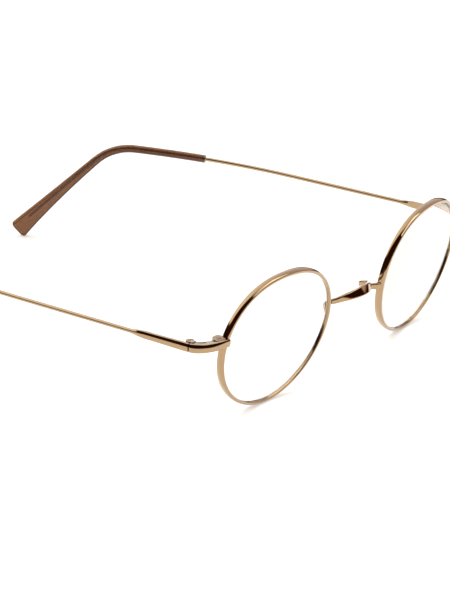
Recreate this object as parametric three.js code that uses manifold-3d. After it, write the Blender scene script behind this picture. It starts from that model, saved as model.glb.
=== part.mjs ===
// Round wire spectacles with clear lenses, a W bridge and folding temples.
// Millimetres, +Z up. The wearer looks along -Y, so the wearer's left is +X.
// The temples run back along +Y.
// The open glasses stand on their rims and tip ends, with the origin under the middle of their box.
import * as THREE from 'three';
import { mergeVertices } from 'three/addons/utils/BufferGeometryUtils.js';
import Module from 'manifold-3d';

const wasm = await Module();
wasm.setup();
const { sin, cos, PI } = Math;
const { degToRad, lerp, smoothstep } = THREE.MathUtils;

// Lens outline, and how the front stands
const LENS_WIDTH = 42.5;
const LENS_HEIGHT = 35.8;
const LENS_GAP = 26.5; // between the two lenses, across the nose
const LOWER_FULLNESS = 0.0195; // share of the radius by which the lower half is fuller than the upper
const FRONT_TILT = degToRad(11.4); // the top of the front leans forward
const FACE_WRAP = degToRad(5.2); // each lens turns back at its outer side

// Lens body
const LENS_THICKNESS = 1.5;
const LENS_DOME = 1.5; // how far the middle stands in front of the edge
const BEVEL_WIDTH = 0.6; // ridge round the edge that sits in the rim's groove

// Rim wire
const RIM_DEPTH = 1.55; // front to back
const RIM_LIP = 0.36; // how far the rim reaches in over the ridge of the lens
const RIM_WALL = 0.53; // metal outside the groove
const RIM_EDGE = 0.15; // rounding of the rim's inner edges
const RIM_CROWN = 0.22; // rounding of the rim's outer edges

// Closing block, the split lock that holds each rim shut
const BLOCK_ANGLE = degToRad(11.5); // up from the lens's outer side
const BLOCK_HEIGHT = 2.2;
const BLOCK_REACH = 3.2; // outwards from the rim
const BLOCK_BACK = 1.3; // behind the rim
const BLOCK_ROUND = 1.7; // outer back corner
const BLOCK_SPLIT = 0.1;
const CLOSING_SCREW_OUT = 1.6; // outwards from the rim
const CLOSING_SCREW_BACK = 0.3;

// End piece, the curved bar from the rim to the hinge
const END_REACH = 9.85; // from the lens to the outer face of the end piece
const HINGE_BACK = 4.95; // from the middle of the rims to the butt joint
const LAP_THICKNESS = 0.85; // where the bar laps the rim
const LAP_HEIGHT = 2.1;
const LAP_DROP = 0.6; // how far the lap sits below the hinge
const LAP_BEVEL = 0.35; // share of the bevel that is left at the lap
const BAR_THICKNESS = 1.25;
const FRONT_RUN = 6.2; // straightness of the bar across the front
const SIDE_RUN = 3.2; // straightness of the bar along the side
const LAP_ENDS = 0.1; // share of the bar's curve where it starts to thicken
const UPRIGHT_FROM = 0.45; // share of the curve from which the bar stands upright at its full thickness
const BUTT_GAP = 0.14;

// Hinge with three knuckles
const BARREL_RADIUS = 1.1;
const BARREL_HEIGHT = 2.8;
const MIDDLE_KNUCKLE = 0.95;
const PIVOT_BACK = 1.05; // behind the butt joint
const LEAF_THICKNESS = 1.25;
const LEAF_START = 0.16; // share of the bar's curve where the leaf starts
const TAIL_THICKNESS = 0.85;
const TAIL_HEIGHT = 1.6;
const TAIL_LENGTH = 5.5;

// Screws
const HINGE_SCREW = { shank: 0.45, head: 0.75, headHeight: 0.25 };
const CLOSING_SCREW = { shank: 0.42, head: 0.7, headHeight: 0.35 };
const SLOT_WIDTH = 0.24;
const SLOT_DEPTH = 0.15;

// Temple, measured along its middle line from the butt joint
const TEMPLE_LENGTH = 149;
const BLADE_LENGTH = 13.5;
const BLADE_TAPER = 5;
const BLADE_HEIGHT = 2.2; // at the hinge
const BLADE_REAR_HEIGHT = 1.9;
const BLADE_THICKNESS = 0.95;
const BLADE_EDGE = 0.25; // rounding of the lower edges
const BEVEL_DOWN = 0.78; // bevel along the upper outer edge of blade and end piece
const BEVEL_IN = 0.21;
const BEVEL_EDGE = 0.1; // rounding of the bevel's own edges
const WIRE_DIAMETER = 1.12;
const SPLAY = degToRad(1.35); // the temples converge backwards
const BOW_START = 54; // where the temple starts to curve inwards
const BOW_RADIUS = 166;
const BEND_START = 103.7; // where it turns down behind the ear
const BEND_RADIUS = 17;
const BEND_ANGLE = degToRad(44);
const CORE_END = 5.6; // from the end of the tip to the end of the core

// Temple tip, the moulded sleeve over the core
const TIP_LENGTH = 66.8;
const TIP_DIAMETER = 2.15;
const PADDLE_WIDTH = 5.7;
const PADDLE_THICKNESS = 2.3;
const PADDLE_LENGTH = 60;
const PADDLE_DROP = 0.26; // share of its extra width by which the paddle hangs below the core
const PADDLE_ROUND = 1.0;
const PADDLE_FLARE = 3.1; // how late the sleeve widens

// Bridge, with its places measured from the rim's nose side
const BRIDGE_FORWARD = 2.92; // the middle of the bow stands in front of the rims
const BRIDGE_RISE = 3.58;
const BOW_ROOT = new THREE.Vector3(4.03, 0.73, 2.45); // inwards, backwards and up
const LOOP = [
  new THREE.Vector3(3.44, 2.9, 2.0),
  new THREE.Vector3(2.84, 3.9, 1.35),
  new THREE.Vector3(2.04, 3.15, 0.75),
  new THREE.Vector3(1.09, 1.4, 0.75),
  new THREE.Vector3(0.29, -0.05, 0.85),
];
const BOW_HEIGHT = 2.6;
const BOW_THICKNESS = 1.2;
const BOW_LEAN = degToRad(27); // its face looks up and forward
const LOOP_THICKNESS = 1.12;
const LOOP_HEIGHT = 1.45;
const JOIN_HEIGHT = 1.9;
const BOW_SHARES = [0.35, 0.7]; // shares of the way from the middle to the bow's end
const SLIM_BY = 0.58; // share of the half bridge where the bow has thinned to the loop
const JOIN_FROM = 0.82; // shares where the loop starts to widen for its joint, and is wide enough
const JOIN_BY = 0.96;
const SOFT_CORNER = 0.42; // rounding of the bridge and the tips, as a share of their thickness

// Clearances
const FIT = 0.06; // pieces that are soldered, clamped or slipped together
const RUN = 0.08; // pieces that turn on each other
const BARREL_ROOM = 0.2; // between the barrel and the blade that swings past it

// Facets
const OUTLINE_STEPS = 52;
const ROUND_STEPS = 18;
const CORNER_STEPS = 3;
const BRIDGE_STEPS = 40;
const LEAF_STEPS = 6;
const TAPER_STEPS = 5;
const BOW_STEPS = 6;
const BEND_STEPS = 10;
const PADDLE_STEPS = 7;
const LENS_RINGS = [0.15, 0.55, 1]; // shares of the way from the lens's middle to its edge
const END_RINGS = [0.7, 0.4, 0.15, 0]; // shares of the rounding at the end of a tip

const FRAME_METAL = { color: 0xcba882, roughness: 0.16, metalness: 1 };
const SCREW_METAL = { color: 0xb79a78, roughness: 0.25, metalness: 1 };
const CLEAR_LENS = { color: 0xf7f8f6, roughness: 0.04, metalness: 0, transparent: true, opacity: 0.25 };
const BROWN_ACETATE = { color: 0x87583e, roughness: 0.22, metalness: 0 };

// Turn every triangle the other way round.
function flipped(geometry) {
  const index = Array.from(geometry.index.array);
  for (let i = 0; i < index.length; i += 3) {
    const second = index[i + 1];
    index[i + 1] = index[i + 2];
    index[i + 2] = second;
  }
  geometry.setIndex(index);
  return geometry;
}

// Six times the enclosed volume, negative where the faces point inwards.
function signedVolume(geometry) {
  const corners = [0, 1, 2].map(() => new THREE.Vector3());
  const places = geometry.attributes.position;
  const index = geometry.index.array;
  let total = 0;
  for (let i = 0; i < index.length; i += 3) {
    corners.forEach((corner, k) => corner.fromBufferAttribute(places, index[i + k]));
    total += corners[0].dot(corners[1].cross(corners[2]));
  }
  return total;
}

// Skin a row of rings, each with the same number of points, into one closed body.
function skin(rings, endless = false) {
  const size = rings[0].length;
  const count = rings.length;
  const index = [];
  for (let i = 0; i < (endless ? count : count - 1); i += 1) {
    const here = i * size;
    const next = ((i + 1) % count) * size;
    for (let j = 0; j < size; j += 1) {
      const k = (j + 1) % size;
      index.push(here + j, here + k, next + k, here + j, next + k, next + j);
    }
  }
  const last = (count - 1) * size;
  for (let j = 1; !endless && j < size - 1; j += 1) {
    index.push(0, j + 1, j, last, last + j, last + j + 1);
  }
  const geometry = new THREE.BufferGeometry().setFromPoints(rings.flat());
  geometry.setIndex(index);
  return signedVolume(geometry) < 0 ? flipped(geometry) : geometry;
}

function toSolid(geometry) {
  const bare = geometry.clone();
  bare.deleteAttribute('normal');
  bare.deleteAttribute('uv');
  const merged = mergeVertices(bare, 1e-5);
  const vertProperties = Float32Array.from(merged.attributes.position.array);
  const triVerts = Uint32Array.from(merged.index.array);
  return new wasm.Manifold(new wasm.Mesh({ numProp: 3, vertProperties, triVerts }));
}

function toGeometry(solid) {
  const mesh = solid.getMesh();
  const geometry = new THREE.BufferGeometry();
  geometry.setAttribute('position', new THREE.BufferAttribute(Float32Array.from(mesh.vertProperties), 3));
  geometry.setIndex(new THREE.BufferAttribute(Uint32Array.from(mesh.triVerts), 1));
  return geometry;
}

function join(...bodies) {
  return toGeometry(bodies.map(toSolid).reduce((sum, body) => sum.add(body)));
}

function cut(body, ...tools) {
  return toGeometry(tools.map(toSolid).reduce((rest, tool) => rest.subtract(tool), toSolid(body)));
}

// The same piece for the other side of the face.
function mirrored(geometry) {
  return flipped(geometry.clone().applyMatrix4(new THREE.Matrix4().makeScale(-1, 1, 1)));
}

// A box between two corners.
function block(low, high) {
  const size = new THREE.Vector3().subVectors(high, low);
  const middle = new THREE.Vector3().addVectors(low, high).multiplyScalar(0.5);
  return new THREE.BoxGeometry(size.x, size.y, size.z).translate(middle.x, middle.y, middle.z);
}

// An upright round bar between two heights.
function post(radius, x, y, low, high) {
  const bar = new THREE.CylinderGeometry(radius, radius, high - low, ROUND_STEPS);
  return bar.rotateX(PI / 2).translate(x, y, (low + high) / 2);
}

// Points round a rectangle with round corners, or round a circle when the corner is half the size.
function roundedSection(width, height, corner) {
  const points = [];
  for (let quarter = 0; quarter < 4; quarter += 1) {
    const sideX = quarter === 0 || quarter === 3 ? 1 : -1;
    const sideY = quarter < 2 ? 1 : -1;
    for (let k = 0; k <= CORNER_STEPS; k += 1) {
      const angle = (quarter + k / CORNER_STEPS) * (PI / 2);
      const x = sideX * (width / 2 - corner) + corner * cos(angle);
      const y = sideY * (height / 2 - corner) + corner * sin(angle);
      points.push([x, y]);
    }
  }
  return points;
}

// Points round a flat bar that is bevelled along its upper outer edge, with the outer side first along x.
// Roundness turns it step by step into a round wire.
const BEVELLED_FILL = [1, 2, 0, 0, 3]; // points added to the lower, outer, bevelled, upper and inner side
const BEVELLED_START = degToRad(-125); // where the first point lies on the round wire

function bevelledSection(thickness, height, bevel, roundness = 0) {
  const x = thickness / 2;
  const y = height / 2;
  const corners = [
    { spot: new THREE.Vector2(-x, -y), edge: BLADE_EDGE },
    { spot: new THREE.Vector2(x, -y), edge: BLADE_EDGE },
    { spot: new THREE.Vector2(x, y - BEVEL_DOWN * bevel), edge: BEVEL_EDGE },
    { spot: new THREE.Vector2(x - BEVEL_IN * bevel, y), edge: BEVEL_EDGE },
    { spot: new THREE.Vector2(-x, y), edge: BEVEL_EDGE },
  ];
  const towards = (from, to) => {
    const heading = to.spot.clone().sub(from.spot).normalize();
    return from.spot.clone().addScaledVector(heading, from.edge);
  };
  const points = [];
  corners.forEach((corner, i) => {
    const before = corners.at(i - 1);
    const after = corners[(i + 1) % corners.length];
    const sideStart = towards(corner, after);
    const sideEnd = towards(after, corner);
    points.push(towards(corner, before), sideStart);
    for (let k = 1; k <= BEVELLED_FILL[i]; k += 1) {
      points.push(sideStart.clone().lerp(sideEnd, k / (BEVELLED_FILL[i] + 1)));
    }
  });
  return points.map((point, i) => {
    const angle = BEVELLED_START + (i / points.length) * 2 * PI;
    const round = new THREE.Vector2(cos(angle), sin(angle)).multiplyScalar(WIRE_DIAMETER / 2);
    return point.lerp(round, roundness).toArray();
  });
}

// Set a section's points out from a place, along two directions.
function ringAt(place, across, up, section) {
  return section.map(([a, b]) => place.clone().addScaledVector(across, a).addScaledVector(up, b));
}

// Equal stops between two ends, the last one left out.
function evenStops(from, to, count) {
  return Array.from({ length: count }, (_, i) => lerp(from, to, i / count));
}

// Lens outline: a round of mean radius, widened into an oval and filled out below
const MEAN_RADIUS = (LENS_WIDTH + LENS_HEIGHT) / 4;
const OVAL = (LENS_WIDTH - LENS_HEIGHT) / (LENS_WIDTH + LENS_HEIGHT);

// A point of the outline, moved outwards by an offset. The angle starts at the outer side and rises.
function outline(angle, offset = 0) {
  const radius = MEAN_RADIUS * (1 + OVAL * cos(2 * angle) + LOWER_FULLNESS * sin(3 * angle));
  const change = MEAN_RADIUS * (-2 * OVAL * sin(2 * angle) + 3 * LOWER_FULLNESS * cos(3 * angle));
  const normal = new THREE.Vector2(
    radius * cos(angle) + change * sin(angle),
    radius * sin(angle) - change * cos(angle),
  ).normalize();
  return new THREE.Vector2(radius * cos(angle), radius * sin(angle)).addScaledVector(normal, offset);
}

// All angles of the outline, one ring of points each or one point each.
function roundOutline(make) {
  return Array.from({ length: OUTLINE_STEPS }, (_, i) => make((i / OUTLINE_STEPS) * 2 * PI));
}

// The left lens's own frame: x outwards, y backwards, z up the lens
const lensFrame = new THREE.Matrix4()
  .makeTranslation((LENS_WIDTH + LENS_GAP) / 2, 0, 0)
  .multiply(new THREE.Matrix4().makeRotationX(FRONT_TILT))
  .multiply(new THREE.Matrix4().makeRotationZ(FACE_WRAP));

function lensPoint(out, back, up) {
  return new THREE.Vector3(out, back, up).applyMatrix4(lensFrame);
}

// Half of the rim's section, from the groove's lip round the front to the crown, as offset and depth
const GROOVE_HALF = BEVEL_WIDTH / 2 + FIT;
const RIM_HALF = RIM_DEPTH / 2;
const rimFront = [
  [-RIM_LIP, -GROOVE_HALF],
  [-RIM_LIP, RIM_EDGE - RIM_HALF],
  [RIM_EDGE - RIM_LIP, -RIM_HALF],
  [RIM_WALL - RIM_CROWN, -RIM_HALF],
  [RIM_WALL - RIM_CROWN / 5, RIM_CROWN - RIM_HALF],
];
const rimBack = rimFront.map(([offset, depth]) => [offset, -depth]).reverse();
const rimSection = [...rimFront, [RIM_WALL, 0], ...rimBack, [0, 0]];

function rimRings() {
  return roundOutline((angle) => rimSection.map(([offset, depth]) => {
    const spot = outline(angle, offset);
    return lensPoint(spot.x, depth, spot.y);
  }));
}

// Lift the front until the rims stand on the ground
const rimBottom = Math.min(...rimRings().flat().map((point) => point.z));
lensFrame.premultiply(new THREE.Matrix4().makeTranslation(0, 0, -rimBottom));

// Everything inside the outline, moved outwards by an offset, as a tool that passes right through.
function lensPrism(offset) {
  const reach = RIM_DEPTH * 3;
  return skin([-reach, reach].map((depth) => roundOutline((angle) => {
    const spot = outline(angle, offset);
    return lensPoint(spot.x, depth, spot.y);
  })));
}

// Closing block's place in the lens frame
const blockSpot = outline(BLOCK_ANGLE, RIM_WALL);
const BLOCK_END = blockSpot.x + BLOCK_REACH;
const closingScrew = new THREE.Vector2(blockSpot.x + CLOSING_SCREW_OUT, CLOSING_SCREW_BACK);

// Outer face of the end piece: from its lap on the rim, round the corner, back to the butt joint
const lapSpot = outline(BLOCK_ANGLE, -RIM_LIP);
const lapStart = lensPoint(lapSpot.x, -(RIM_HALF + FIT + LAP_THICKNESS), blockSpot.y);
const frontHalf = LENS_GAP / 2 + LENS_WIDTH + END_REACH;
const hingeSpot = new THREE.Vector3(frontHalf, HINGE_BACK, lapStart.z + LAP_DROP);
const backward = new THREE.Vector3(-sin(SPLAY), cos(SPLAY), 0);
const outward = new THREE.Vector3(cos(FACE_WRAP), sin(FACE_WRAP), 0);
const barPath = new THREE.CubicBezierCurve3(
  lapStart,
  lapStart.clone().addScaledVector(outward, FRONT_RUN),
  hingeSpot.clone().addScaledVector(backward, -SIDE_RUN),
  hingeSpot.clone().addScaledVector(backward, -BUTT_GAP / 2),
);

// The bar stands with the tilted front at its lap, and upright from the corner on.
const BAR_STOPS = [0, 0.02, 0.06, 0.14, 0.24, 0.34, 0.44, 0.52, 0.6, 0.68, 0.78, 0.88, 1];

function barStation(share) {
  const along = barPath.getTangent(share);
  const lean = FRONT_TILT * Math.max(0, 1 - share / UPRIGHT_FROM);
  const across = new THREE.Vector3(0, -sin(lean), cos(lean)).cross(along).normalize();
  const up = new THREE.Vector3().crossVectors(along, across);
  const thickness = lerp(LAP_THICKNESS, BAR_THICKNESS, smoothstep(share, LAP_ENDS, UPRIGHT_FROM));
  const height = lerp(LAP_HEIGHT, BLADE_HEIGHT, share);
  const place = barPath.getPoint(share);
  return { place, across, up, thickness, height };
}

// The bar's body. As a tool it is a little thicker and longer, and taller than anything that it cuts.
function barBody(asTool) {
  const rings = BAR_STOPS.map((share, i) => {
    const { place, across, up, thickness, height } = barStation(share);
    const nose = i === 0 ? BLADE_EDGE : 0;
    const middle = place.addScaledVector(across, thickness / 2);
    const bevel = lerp(LAP_BEVEL, 1, smoothstep(share, 0, UPRIGHT_FROM));
    const section = asTool
      ? roundedSection(thickness + 2 * FIT, 3 * BLOCK_HEIGHT, BLADE_EDGE)
      : bevelledSection(thickness - nose, height - 2 * nose, bevel);
    return ringAt(middle, across.negate(), up, section);
  });
  if (asTool) {
    rings.push(rings.at(-1).map((point) => point.clone().addScaledVector(backward, BARREL_ROOM)));
  }
  return skin(rings);
}

// Hinge frame: x outwards from the blade's outer face, y backwards from the butt joint, z up
const hingeFrame = new THREE.Matrix4()
  .makeTranslation(hingeSpot.x, hingeSpot.y, hingeSpot.z)
  .multiply(new THREE.Matrix4().makeRotationZ(SPLAY));
const PIVOT_IN = -(BLADE_THICKNESS + BARREL_ROOM + BARREL_RADIUS);
const BARREL_TOP = BARREL_HEIGHT / 2;
const KNUCKLE_TOP = MIDDLE_KNUCKLE / 2;

function atHinge(geometry) {
  return geometry.applyMatrix4(hingeFrame);
}

function pivotPost(radius, low, high) {
  return atHinge(post(radius, PIVOT_IN, PIVOT_BACK, low, high));
}

// Slotted screw with its head's top at the origin, pointing down.
function screwBody({ shank, head, headHeight }, length) {
  const profile = [
    [0, -length],
    [shank, -length],
    [shank, -headHeight],
    [head, -headHeight],
    [head, -RUN],
    [head - RUN, 0],
    [0, 0],
  ].map(([x, y]) => new THREE.Vector2(x, y));
  const turned = new THREE.LatheGeometry(profile, ROUND_STEPS).rotateX(PI / 2);
  const slotEnd = new THREE.Vector3(2 * head, SLOT_WIDTH / 2, SLOT_DEPTH);
  return cut(turned, block(new THREE.Vector3(-2 * head, -SLOT_WIDTH / 2, -SLOT_DEPTH), slotEnd));
}

// Bore and head recess for such a screw, round the origin.
function screwRoom({ shank, head, headHeight }, length) {
  const bore = post(shank + RUN, 0, 0, -2 * length, length);
  return join(bore, post(head + RUN, 0, 0, -headHeight - RUN, length));
}

// Rim, with the stretch that the closing block takes cut out
function rim() {
  const reach = BLOCK_HEIGHT;
  const low = new THREE.Vector3(blockSpot.x - reach, -reach, blockSpot.y - BLOCK_HEIGHT / 2 - FIT);
  const high = new THREE.Vector3(blockSpot.x + reach, reach, blockSpot.y + BLOCK_HEIGHT / 2 + FIT);
  return cut(skin(rimRings(), true), block(low, high).applyMatrix4(lensFrame));
}

// Lens: a domed sheet whose edge carries the ridge
function lens() {
  const edge = -(RIM_LIP + FIT);
  const face = (share, side) => roundOutline((angle) => {
    const spot = outline(angle, edge).multiplyScalar(share);
    return lensPoint(spot.x, side * LENS_THICKNESS / 2 - LENS_DOME * (1 - share * share), spot.y);
  });
  const rib = (offset, depth) => roundOutline((angle) => {
    const spot = outline(angle, offset);
    return lensPoint(spot.x, depth, spot.y);
  });
  return skin([
    ...LENS_RINGS.map((share) => face(share, -1)),
    rib(edge, -BEVEL_WIDTH / 2),
    rib(-FIT, 0),
    rib(edge, BEVEL_WIDTH / 2),
    ...LENS_RINGS.toReversed().map((share) => face(share, 1)),
  ]);
}

function atClosingScrew(geometry) {
  const top = blockSpot.y + BLOCK_HEIGHT / 2;
  return geometry.translate(closingScrew.x, closingScrew.y, top).applyMatrix4(lensFrame);
}

// Half of the closing block, between two heights over the split
function closingBlock(low, high) {
  const back = RIM_HALF + BLOCK_BACK;
  const front = -(RIM_HALF + FIT + LAP_THICKNESS / 2);
  const inner = blockSpot.x - 2 * RIM_WALL - RIM_LIP;
  const plan = new THREE.Shape();
  plan.moveTo(inner, front);
  plan.lineTo(BLOCK_END, front);
  plan.lineTo(BLOCK_END, back - BLOCK_ROUND);
  plan.quadraticCurveTo(BLOCK_END, back, BLOCK_END - BLOCK_ROUND, back);
  plan.lineTo(blockSpot.x + RIM_WALL, back);
  plan.quadraticCurveTo(blockSpot.x, back, blockSpot.x - RIM_WALL, RIM_HALF);
  plan.lineTo(inner, RIM_HALF);
  const slab = { depth: high - low, bevelEnabled: false, curveSegments: 2 * CORNER_STEPS };
  const body = new THREE.ExtrudeGeometry(plan, slab);
  body.translate(0, 0, blockSpot.y + low).applyMatrix4(lensFrame);
  const room = screwRoom(CLOSING_SCREW, BLOCK_HEIGHT);
  return cut(body, lensPrism(FIT), barBody(true), atClosingScrew(room));
}

function closingScrewBody() {
  return atClosingScrew(screwBody(CLOSING_SCREW, BLOCK_HEIGHT));
}

// Front hinge leaf: a band inside the end piece that carries the outer two knuckles
function frontLeaf() {
  const stops = [...evenStops(LEAF_START, 1, LEAF_STEPS), 1];
  const band = skin(stops.map((share) => {
    const { place, across, up, thickness, height } = barStation(share);
    const reach = thickness / 2 + FIT + LEAF_THICKNESS;
    const middle = place.addScaledVector(across, (thickness + reach) / 2);
    const corners = [[1, 1], [-1, 1], [-1, -1], [1, -1]].map(([a, b]) => [a * reach / 2, b * height / 2]);
    return ringAt(middle, across, up, corners);
  }));
  const neckOut = -(BLADE_THICKNESS + BARREL_ROOM);
  const neck = block(
    new THREE.Vector3(PIVOT_IN - BARREL_RADIUS / 4, -BARREL_RADIUS / 2, -BARREL_TOP),
    new THREE.Vector3(neckOut, PIVOT_BACK, BARREL_TOP),
  );
  const body = join(band, atHinge(neck), pivotPost(BARREL_RADIUS, -BARREL_TOP, BARREL_TOP));
  const blockSide = block(
    new THREE.Vector3(-BLOCK_END, -BLOCK_END, -BLOCK_END),
    new THREE.Vector3(BLOCK_END + FIT, BLOCK_END, BLOCK_END),
  ).applyMatrix4(lensFrame);
  const slot = pivotPost(BARREL_RADIUS + 2 * RUN, -KNUCKLE_TOP - RUN, KNUCKLE_TOP + RUN);
  const room = screwRoom(HINGE_SCREW, BARREL_HEIGHT).translate(PIVOT_IN, PIVOT_BACK, BARREL_TOP);
  return cut(body, barBody(true), blockSide, slot, atHinge(room));
}

function hingeScrewBody() {
  return atHinge(screwBody(HINGE_SCREW, BARREL_HEIGHT).translate(PIVOT_IN, PIVOT_BACK, BARREL_TOP));
}

// Temple hinge leaf: the middle knuckle and its tail on the blade's inner face
function templeLeaf() {
  const inner = -(BLADE_THICKNESS + FIT + TAIL_THICKNESS);
  const outer = -(BLADE_THICKNESS + FIT);
  const tailStart = PIVOT_BACK + BARREL_RADIUS + BARREL_ROOM;
  const arm = block(
    new THREE.Vector3(inner, PIVOT_BACK, -KNUCKLE_TOP),
    new THREE.Vector3(outer, tailStart + TAIL_HEIGHT / 2, KNUCKLE_TOP),
  );
  const plan = new THREE.Shape();
  const half = TAIL_HEIGHT / 2;
  plan.moveTo(tailStart, -half);
  plan.lineTo(tailStart + TAIL_LENGTH - half, -half);
  plan.absarc(tailStart + TAIL_LENGTH - half, 0, half, -PI / 2, PI / 2);
  plan.lineTo(tailStart, half);
  const sheet = { depth: TAIL_THICKNESS, bevelEnabled: false, curveSegments: ROUND_STEPS / 2 };
  const plate = new THREE.ExtrudeGeometry(plan, sheet);
  plate.rotateX(PI / 2).rotateZ(PI / 2).translate(inner, 0, 0);
  const knuckle = pivotPost(BARREL_RADIUS, -KNUCKLE_TOP, KNUCKLE_TOP);
  const bore = pivotPost(HINGE_SCREW.shank + RUN, -BARREL_HEIGHT, BARREL_HEIGHT);
  return cut(join(knuckle, atHinge(arm), atHinge(plate)), bore);
}

// Temple's middle line, walked in small steps from the butt joint. Stations share one list of stops.
const WALK_STEP = 0.25;
const BEND_END = BEND_START + BEND_RADIUS * BEND_ANGLE;
const CORE_STOP = TEMPLE_LENGTH - CORE_END;
const TIP_START = TEMPLE_LENGTH - TIP_LENGTH;

function templeStations(stops, rise) {
  const place = new THREE.Vector3(-BLADE_THICKNESS / 2, BUTT_GAP / 2, 0).applyMatrix4(hingeFrame);
  const stations = [];
  let walked = 0;
  for (const stop of stops) {
    const steps = Math.max(1, Math.ceil((stop - walked) / WALK_STEP));
    const step = (stop - walked) / steps;
    for (let i = 0; i < steps; i += 1) {
      place.addScaledVector(templeHeading(walked + step / 2, rise).along, step);
      walked += step;
    }
    stations.push({ stop, place: place.clone(), ...templeHeading(stop, rise) });
  }
  return stations;
}

function templeHeading(walked, rise) {
  const turn = SPLAY + Math.max(0, walked - BOW_START) / BOW_RADIUS;
  const pitch = rise - THREE.MathUtils.clamp((walked - BEND_START) / BEND_RADIUS, 0, BEND_ANGLE);
  const along = new THREE.Vector3(-sin(turn) * cos(pitch), cos(turn) * cos(pitch), sin(pitch));
  const across = new THREE.Vector3(cos(turn), sin(turn), 0);
  return { along, across, up: new THREE.Vector3().crossVectors(across, along) };
}

const sharedStops = [
  ...evenStops(BOW_START, BEND_START, BOW_STEPS),
  ...evenStops(BEND_START, BEND_END, BEND_STEPS),
  ...evenStops(BEND_END, TEMPLE_LENGTH - PADDLE_ROUND, PADDLE_STEPS),
];

function stopsBetween(from, to) {
  return [from, ...sharedStops.filter((stop) => stop > from && stop < to), to];
}

// Sleeve section at a stop: round at the front, widening to the paddle, with its end corners rounded
function tipRing({ stop, place, across, up }) {
  const fromEnd = TEMPLE_LENGTH - stop;
  const flare = Math.max(0, 1 - fromEnd / PADDLE_LENGTH) ** PADDLE_FLARE;
  const rounding = Math.max(0, 1 - fromEnd / PADDLE_ROUND);
  const trim = PADDLE_ROUND * (1 - Math.sqrt(1 - rounding * rounding));
  const width = lerp(TIP_DIAMETER, PADDLE_WIDTH, flare);
  const thickness = lerp(TIP_DIAMETER, PADDLE_THICKNESS, flare) - trim / 2;
  const drop = (width - TIP_DIAMETER) * PADDLE_DROP;
  const middle = place.clone().addScaledVector(up, -drop);
  return ringAt(middle, across, up, roundedSection(thickness, width - 2 * trim, SOFT_CORNER * thickness));
}

const tipStops = [
  ...stopsBetween(TIP_START, TEMPLE_LENGTH - PADDLE_ROUND),
  ...END_RINGS.map((share) => TEMPLE_LENGTH - share * PADDLE_ROUND),
];

function tipRings(rise) {
  return templeStations(tipStops, rise).map(tipRing);
}

// Rise of the temples that stands the tip ends on the same ground as the rims, found by halving
function levelRise() {
  let low = -BEND_ANGLE / 4;
  let high = BEND_ANGLE / 3;
  for (let halving = 0; halving < 40; halving += 1) {
    const middle = (low + high) / 2;
    const bottom = Math.min(...tipRings(middle).flat().map((point) => point.z));
    if (bottom < 0) low = middle;
    else high = middle;
  }
  return high;
}

const TEMPLE_RISE = levelRise();

// Temple: flat blade, taper, then wire that runs on as the core of the tip
function temple() {
  const stops = [
    0,
    BLADE_LENGTH,
    ...evenStops(BLADE_LENGTH, BLADE_LENGTH + BLADE_TAPER, TAPER_STEPS).slice(1),
    ...stopsBetween(BLADE_LENGTH + BLADE_TAPER, CORE_STOP),
  ];
  return skin(templeStations(stops, TEMPLE_RISE).map(({ stop, place, across, up }) => {
    const slim = smoothstep(stop, BLADE_LENGTH, BLADE_LENGTH + BLADE_TAPER);
    const height = lerp(BLADE_HEIGHT, BLADE_REAR_HEIGHT, smoothstep(stop, 0, BLADE_LENGTH));
    return ringAt(place, across, up, bevelledSection(BLADE_THICKNESS, height, height / BLADE_HEIGHT, slim));
  }));
}

// Temple tip: the sleeve, bored for the core from its front end
function templeTip() {
  const bore = WIRE_DIAMETER + 2 * FIT;
  const mouth = templeStations([TIP_START - FIT, ...stopsBetween(TIP_START, CORE_STOP + FIT)], TEMPLE_RISE);
  const boreRings = mouth.map(({ place, across, up }) => (
    ringAt(place, across, up, roundedSection(bore, bore, bore / 2))
  ));
  return cut(skin(tipRings(TEMPLE_RISE)), skin(boreRings));
}

// Bridge: a bow in front of the nose, looped back at each end and turned forward into the rim
function bridge() {
  const nose = outline(PI, RIM_WALL);
  const root = lensPoint(nose.x, 0, nose.y);
  const placed = ({ x, y, z }) => new THREE.Vector3(root.x - x, root.y + y, root.z + z);
  const apex = placed(new THREE.Vector3(root.x, -BRIDGE_FORWARD, BRIDGE_RISE));
  const bowEnd = placed(BOW_ROOT);
  const bow = BOW_SHARES.map((share) => new THREE.Vector3(
    bowEnd.x * share,
    lerp(apex.y, bowEnd.y, share * share),
    lerp(apex.z, bowEnd.z, share * share),
  ));
  const inRim = placed(new THREE.Vector3(-RIM_WALL, -RIM_WALL / 2, LOOP.at(-1).z));
  const half = [...bow, bowEnd, ...LOOP.map(placed), inRim];
  const otherHalf = half.map((point) => new THREE.Vector3(-point.x, point.y, point.z)).toReversed();
  const path = new THREE.CatmullRomCurve3([...otherHalf, apex, ...half]);
  const rings = Array.from({ length: BRIDGE_STEPS + 1 }, (_, i) => {
    const share = i / BRIDGE_STEPS;
    const place = path.getPointAt(share);
    const along = path.getTangentAt(share);
    const fromApex = Math.abs(2 * share - 1);
    const slim = smoothstep(fromApex, 0, SLIM_BY);
    const flare = smoothstep(fromApex, JOIN_FROM, JOIN_BY);
    const height = lerp(lerp(BOW_HEIGHT, LOOP_HEIGHT, slim), JOIN_HEIGHT, flare);
    const thickness = lerp(BOW_THICKNESS, LOOP_THICKNESS, slim);
    const lean = BOW_LEAN * (1 - slim);
    const level = new THREE.Vector3(along.y, -along.x, 0).normalize();
    const across = level.applyAxisAngle(along, -lean);
    const up = new THREE.Vector3().crossVectors(across, along);
    return ringAt(place, across, up, roundedSection(thickness, height, SOFT_CORNER * thickness));
  });
  const socket = lensPrism(RIM_WALL + FIT);
  return cut(skin(rings), socket, mirrored(toGeometry(toSolid(socket))));
}

// Assembly: the bridge once, and every other piece for both sides
const glasses = new THREE.Group();

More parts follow.
